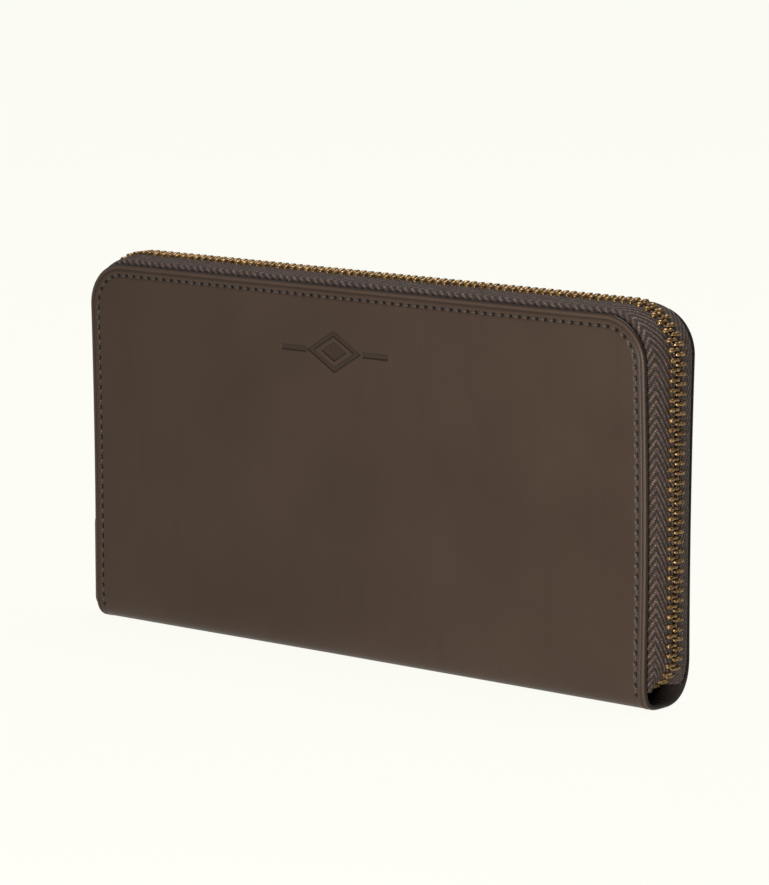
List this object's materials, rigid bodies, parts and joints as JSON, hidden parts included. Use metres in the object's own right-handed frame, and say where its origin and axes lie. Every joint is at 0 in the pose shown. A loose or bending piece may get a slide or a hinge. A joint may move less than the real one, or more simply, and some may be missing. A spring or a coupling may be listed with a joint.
{
  "type": "zip around wallet",
  "caption": "Long leather wallet with a metal zip round three sides, card panels on both halves and a zipped coin pocket between them.",
  "frame": {"origin": "middle of the flat underside of the spine, on which the closed wallet stands", "axes": "+X along the spine towards the end where the zip stops, -Y out of the front cover, +Z from the spine to the zip"},
  "size_m": [0.1999, 0.0232, 0.1035],
  "materials": {
    "cover_leather": "satin smooth dark brown leather",
    "tab_leather": "satin smooth dark brown leather, cut edges painted",
    "card_leather": "thin matt brown leather",
    "thread": "waxed polyester thread",
    "board": "pressed fibre board",
    "lining_cloth": "brown twill lining",
    "gusset_cloth": "brown twill lining",
    "pocket_cloth": "brown twill lining on a backing",
    "zip_tape": "herringbone woven zip tape, grey brown",
    "coin_tape": "woven zip tape, grey brown",
    "zip_metal": "antique brass zip teeth",
    "slider_metal": "antique brass casting"
  },
  "bodies": {
    "spine": {"back_zip_tape_left_end": "zip_tape", "back_zip_tape_right_end": "zip_tape", "bottom_stop": "zip_metal", "coin_pocket_back_wall": "pocket_cloth", "coin_pocket_front_wall": "pocket_cloth", "coin_pocket_left_end": "pocket_cloth", "coin_pocket_right_end": "pocket_cloth", "coin_zip_back_tape": "coin_tape", "coin_zip_back_teeth": "zip_metal", "coin_zip_front_tape": "coin_tape", "coin_zip_front_teeth": "zip_metal", "front_zip_tape_left_end": "zip_tape", "front_zip_tape_right_end": "zip_tape", "spine_leather": "cover_leather", "spine_lining": "lining_cloth", "zip_last_teeth": "zip_metal"},
    "front_half": {"front_board": "board", "front_card_panel_1": "card_leather", "front_card_panel_2": "card_leather", "front_card_panel_3": "card_leather", "front_card_panel_4": "card_leather", "front_cover_leather": "cover_leather", "front_left_gusset": "gusset_cloth", "front_lining": "lining_cloth", "front_right_gusset": "gusset_cloth", "front_stitching": "thread", "front_top_stop": "zip_metal", "front_zip_tape": "zip_tape", "front_zip_tape_slider_run": "zip_tape", "front_zip_teeth": "zip_metal", "front_zip_teeth_slider_run": "slider_metal"},
    "back_half": {"back_board": "board", "back_card_panel_1": "card_leather", "back_card_panel_2": "card_leather", "back_card_panel_3": "card_leather", "back_card_panel_4": "card_leather", "back_cover_leather": "cover_leather", "back_left_gusset": "gusset_cloth", "back_lining": "lining_cloth", "back_right_gusset": "gusset_cloth", "back_stitching": "thread", "back_top_stop": "zip_metal", "back_zip_tape": "zip_tape", "back_zip_tape_slider_run": "zip_tape", "back_zip_teeth": "zip_metal", "back_zip_teeth_slider_run": "slider_metal"},
    "zip_slider": {"zip_slider_body": "slider_metal", "zip_slider_crown": "slider_metal"},
    "pull_ring": {"pull_ring": "slider_metal"},
    "pull_tab": {"pull_tab": "tab_leather"},
    "coin_slider": {"coin_slider_body": "slider_metal", "coin_slider_crown": "slider_metal"},
    "coin_puller": {"coin_puller": "slider_metal"}
  },
  "joints": [
    {"name": "back_fold", "type": "hinge", "parent": "spine", "child": "back_half", "pos_m": [0, 0.0035, 0], "axis": [-1, 0, 0], "range_deg": [0, 25], "deforming": ["back_left_gusset", "back_right_gusset"]},
    {"name": "front_fold", "type": "hinge", "parent": "spine", "child": "front_half", "pos_m": [0, -0.0035, 0], "axis": [1, 0, 0], "range_deg": [0, 25], "deforming": ["front_left_gusset", "front_right_gusset"]},
    {"name": "zip_travel", "type": "slide", "parent": "back_half", "child": "zip_slider", "axis": [0, 0, 1], "range_m": [0, 0.036], "deforming": ["back_zip_tape_slider_run", "back_zip_teeth_slider_run", "front_zip_tape_slider_run", "front_zip_teeth_slider_run"]},
    {"name": "ring_swing", "type": "hinge", "parent": "zip_slider", "child": "pull_ring", "pos_m": [-0.09995, 0, 0.042], "axis": [0, 1, 0], "range_deg": [0, 120]},
    {"name": "tab_swing", "type": "hinge", "parent": "pull_ring", "child": "pull_tab", "pos_m": [-0.09995, 0, 0.0354], "axis": [0, 1, 0], "range_deg": [0, 50]},
    {"name": "coin_zip_travel", "type": "slide", "parent": "spine", "child": "coin_slider", "axis": [-1, 0, 0], "range_m": [0, 0.145], "deforming": ["coin_zip_back_teeth", "coin_zip_front_teeth"]},
    {"name": "coin_puller_swing", "type": "hinge", "parent": "coin_slider", "child": "coin_puller", "pos_m": [0.07425, 0, 0.0806], "axis": [0, 1, 0], "range_deg": [0, 170]}
  ],
  "couplings": [
    {"joint": "front_fold", "follows": "back_fold", "ratio": 1}
  ]
}
